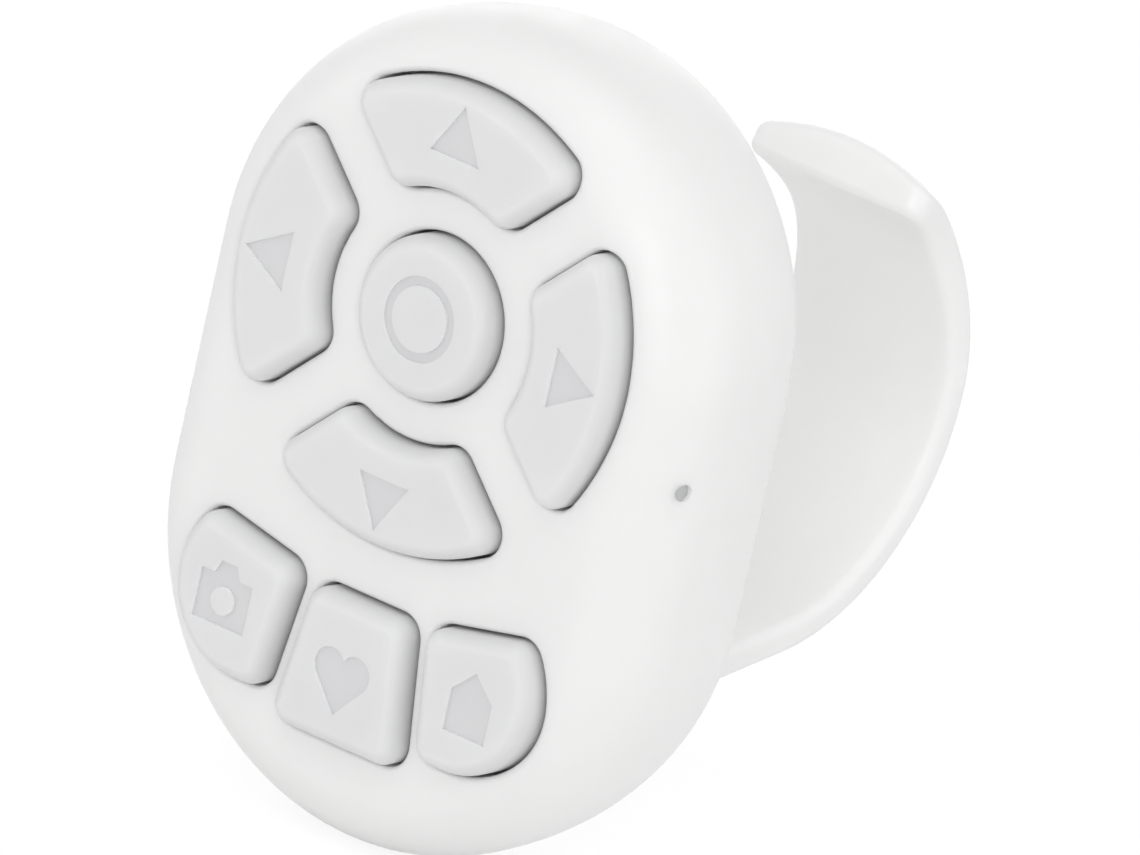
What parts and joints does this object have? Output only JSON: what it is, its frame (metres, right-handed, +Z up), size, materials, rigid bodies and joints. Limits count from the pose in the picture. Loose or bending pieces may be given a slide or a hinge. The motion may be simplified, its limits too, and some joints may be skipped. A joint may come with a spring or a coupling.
{
  "type": "bluetooth ring remote",
  "caption": "Thumb-operated wireless remote: a pebble-shaped housing with sprung keys round a centre key, worn on an open finger band that stands out of its back.",
  "frame": {"origin": "centre of the finger band's bore, on the housing's plane of width symmetry", "axes": "+X to the right as the key face is seen, along the finger; +Y from the key face towards the back; +Z up along the housing"},
  "size_m": [0.0296, 0.0404, 0.0419],
  "materials": {
    "white_shell": "satin",
    "grey_key": "satin",
    "grey_knob": "satin",
    "mat_silicone": "matte",
    "board": "satin",
    "plated_metal": "satin",
    "screw_steel": "satin",
    "black_plastic": "matte",
    "ceramic": "matte",
    "lamp": "gloss",
    "clear_plastic": "gloss",
    "cell_foil": "satin",
    "foam_tape": "matte",
    "lead_sleeve": "satin"
  },
  "bodies": {
    "remote": {"front_shell": "white_shell", "rear_cover": "white_shell", "finger_band": "white_shell", "keypad_membrane": "mat_silicone", "circuit_board": "board", "usb_shell": "plated_metal", "usb_tongue": "black_plastic", "power_switch_body": "plated_metal", "light_pipe": "clear_plastic", "battery": "cell_foil", "dome_switches": "plated_metal", "small_components": "ceramic", "indicator_led": "lamp", "radio_chip": "black_plastic", "crystal": "plated_metal", "charging_chip": "black_plastic", "chip_antenna": "ceramic", "battery_pad": "foam_tape", "battery_leads": "lead_sleeve", "cover_screws": "screw_steel", "band_screws": "screw_steel"},
    "up_key": {"key_up": "grey_key"},
    "right_key": {"key_right": "grey_key"},
    "down_key": {"key_down": "grey_key"},
    "left_key": {"key_left": "grey_key"},
    "camera_key": {"key_camera": "grey_key"},
    "heart_key": {"key_heart": "grey_key"},
    "home_key": {"key_home": "grey_key"},
    "centre_key": {"key_centre": "grey_key"},
    "power_knob": {"power_switch_knob": "grey_knob"}
  },
  "joints": [
    {"name": "up_key_press", "type": "slide", "parent": "remote", "child": "up_key", "axis": [0, 1, 0], "range_m": [0, 0.0003], "stiffness_N_per_m": 1000},
    {"name": "right_key_press", "type": "slide", "parent": "remote", "child": "right_key", "axis": [0, 1, 0], "range_m": [0, 0.0003], "stiffness_N_per_m": 1000},
    {"name": "down_key_press", "type": "slide", "parent": "remote", "child": "down_key", "axis": [0, 1, 0], "range_m": [0, 0.0003], "stiffness_N_per_m": 1000},
    {"name": "left_key_press", "type": "slide", "parent": "remote", "child": "left_key", "axis": [0, 1, 0], "range_m": [0, 0.0003], "stiffness_N_per_m": 1000},
    {"name": "camera_key_press", "type": "slide", "parent": "remote", "child": "camera_key", "axis": [0, 1, 0], "range_m": [0, 0.0003], "stiffness_N_per_m": 1000},
    {"name": "heart_key_press", "type": "slide", "parent": "remote", "child": "heart_key", "axis": [0, 1, 0], "range_m": [0, 0.0003], "stiffness_N_per_m": 1000},
    {"name": "home_key_press", "type": "slide", "parent": "remote", "child": "home_key", "axis": [0, 1, 0], "range_m": [0, 0.0003], "stiffness_N_per_m": 1000},
    {"name": "centre_key_press", "type": "slide", "parent": "remote", "child": "centre_key", "axis": [0, 1, 0], "range_m": [0, 0.0003], "stiffness_N_per_m": 1000},
    {"name": "power_slide", "type": "slide", "parent": "remote", "child": "power_knob", "axis": [0, 0, 1], "range_m": [0, 0.002]}
  ]
}
